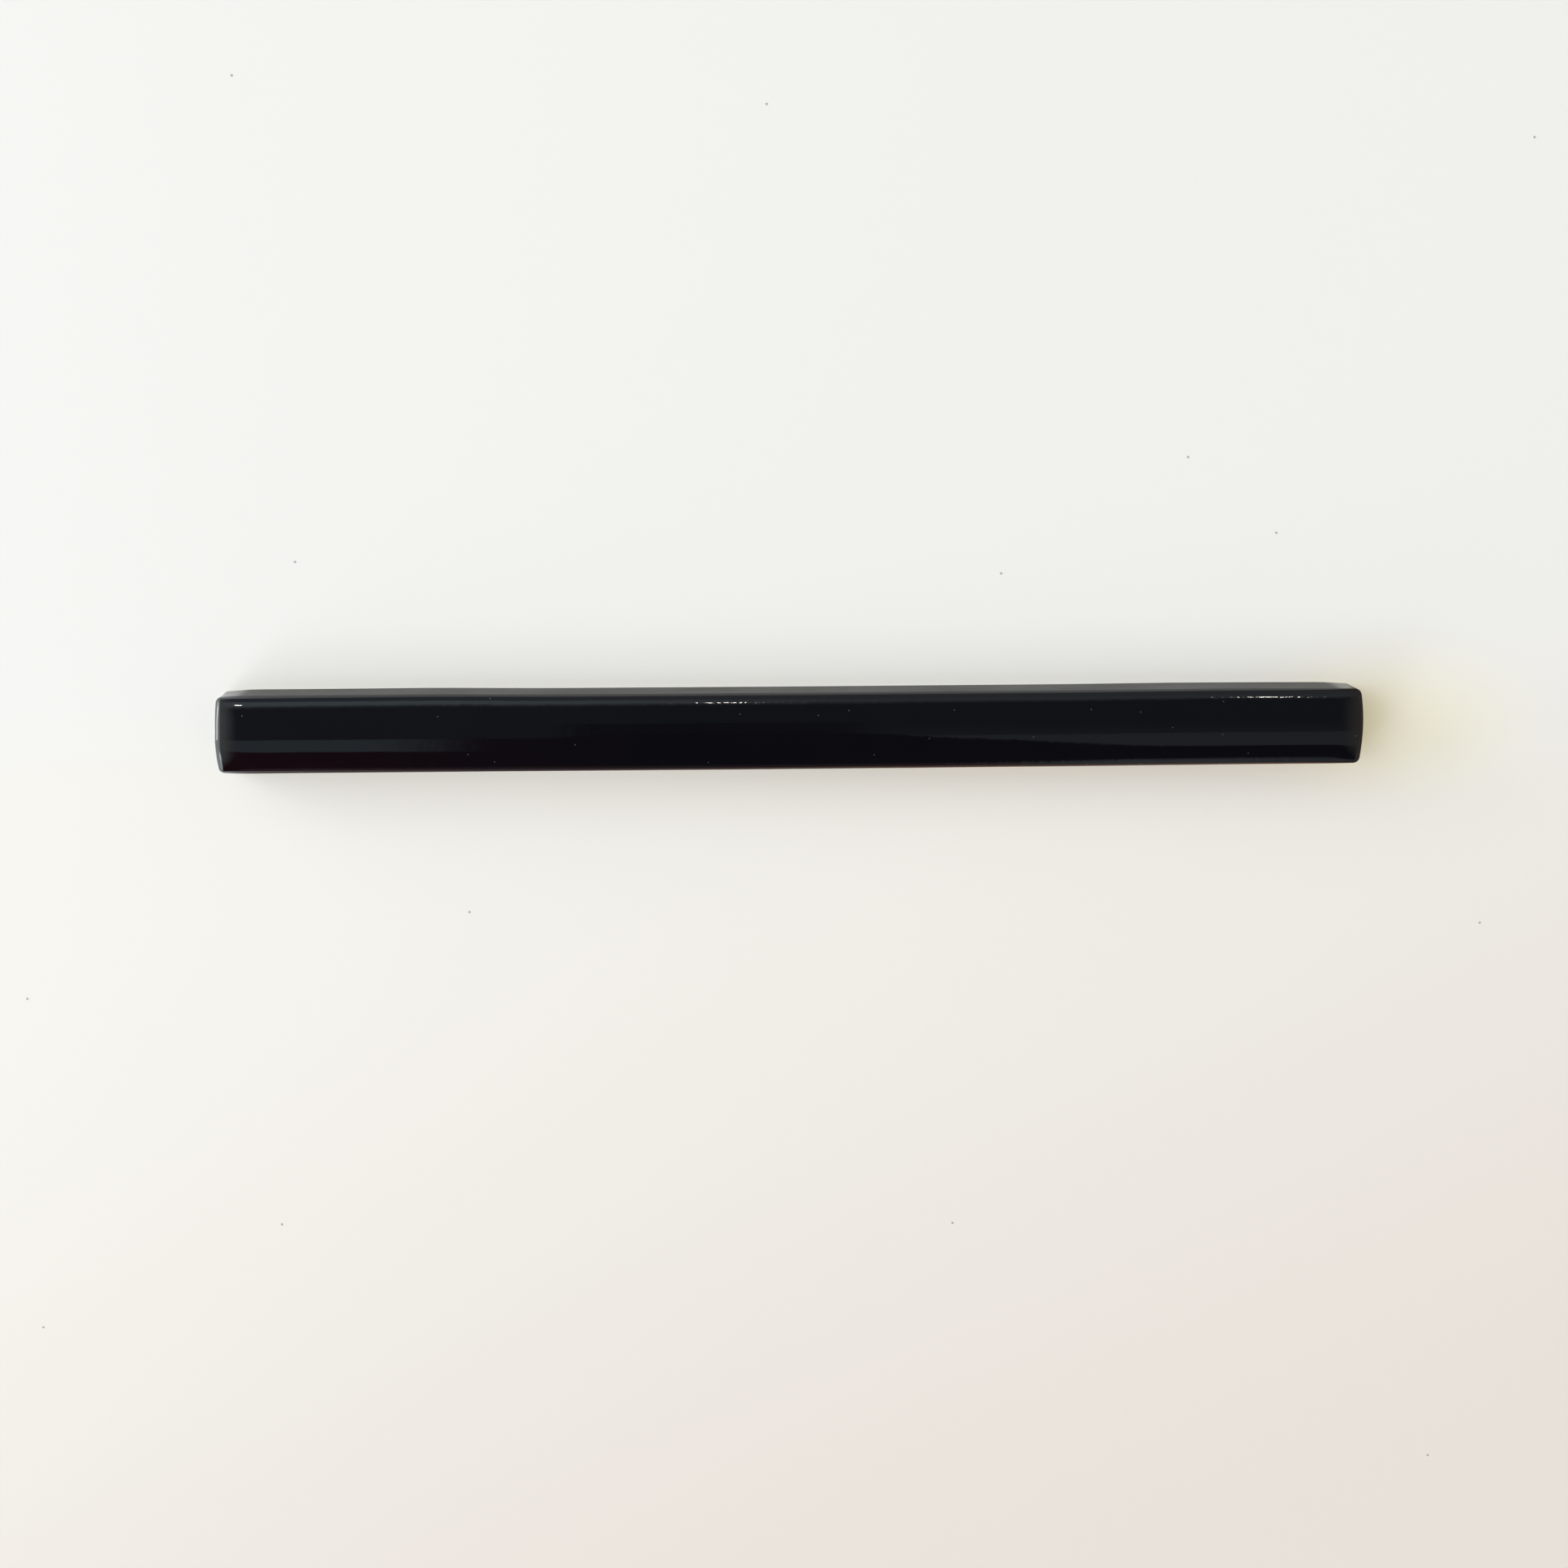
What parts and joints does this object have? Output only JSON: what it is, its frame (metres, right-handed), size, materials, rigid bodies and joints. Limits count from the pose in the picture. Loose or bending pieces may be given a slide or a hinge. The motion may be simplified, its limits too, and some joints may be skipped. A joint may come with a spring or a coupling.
{
  "type": "pencil liner tile",
  "caption": "Narrow half-round ceramic trim tile with a glossy black glaze, softened ends and a flat keyed back.",
  "frame": {"origin": "middle of the tile's back, on the surface that it lies on", "axes": "+X along the tile's length, +Y across its width, +Z out of its face, away from the back"},
  "size_m": [0.2032, 0.0144, 0.01],
  "materials": {
    "black_glaze": "gloss"
  },
  "bodies": {
    "root": {"pencil_liner": "black_glaze"}
  },
  "joints": []
}
